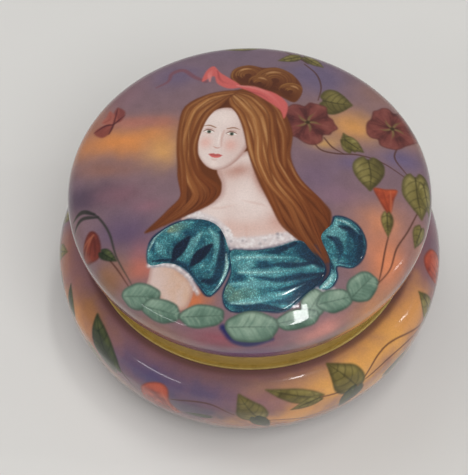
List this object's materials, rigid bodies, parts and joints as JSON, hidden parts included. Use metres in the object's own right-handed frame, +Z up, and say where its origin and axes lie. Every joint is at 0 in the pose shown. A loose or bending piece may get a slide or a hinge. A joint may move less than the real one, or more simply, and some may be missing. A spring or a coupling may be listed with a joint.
{
  "type": "pill box",
  "caption": "Round enamelled metal pill box: a bulging bowl-shaped base with a gilt waist band and a domed painted lid with foil inlays, hinged at the back.",
  "frame": {"origin": "centre of the flat underside, on the surface that the box stands on", "axes": "+Z up through the lid's crown; the hinge is towards +Y, so the box opens towards -Y"},
  "size_m": [0.0502, 0.0502, 0.0289],
  "materials": {
    "painted_enamel": "gloss",
    "lining_enamel": "gloss",
    "foil_enamel": "gloss",
    "copper": "satin",
    "gilt_brass": "satin"
  },
  "bodies": {
    "base": {"base_enamel": "painted_enamel", "base_copper_shell": "copper", "base_counter_enamel": "lining_enamel", "base_rim": "gilt_brass", "base_neck": "gilt_brass", "base_hinge_bearer": "gilt_brass", "base_knuckle_left": "gilt_brass", "base_knuckle_centre": "gilt_brass", "base_knuckle_right": "gilt_brass", "hinge_pin": "gilt_brass"},
    "lid": {"lid_enamel": "painted_enamel", "lid_copper_shell": "copper", "lid_counter_enamel": "lining_enamel", "lid_rim": "gilt_brass", "lid_hinge_bearer": "gilt_brass", "lid_knuckle_left": "gilt_brass", "lid_knuckle_right": "gilt_brass", "foil_bodice": "foil_enamel", "foil_left_sleeve": "foil_enamel", "foil_right_sleeve": "foil_enamel"}
  },
  "joints": [
    {"name": "lid_hinge", "type": "hinge", "parent": "base", "child": "lid", "pos_m": [0, 0.02165, 0.0178], "axis": [-1, 0, 0], "range_deg": [0, 110]}
  ]
}
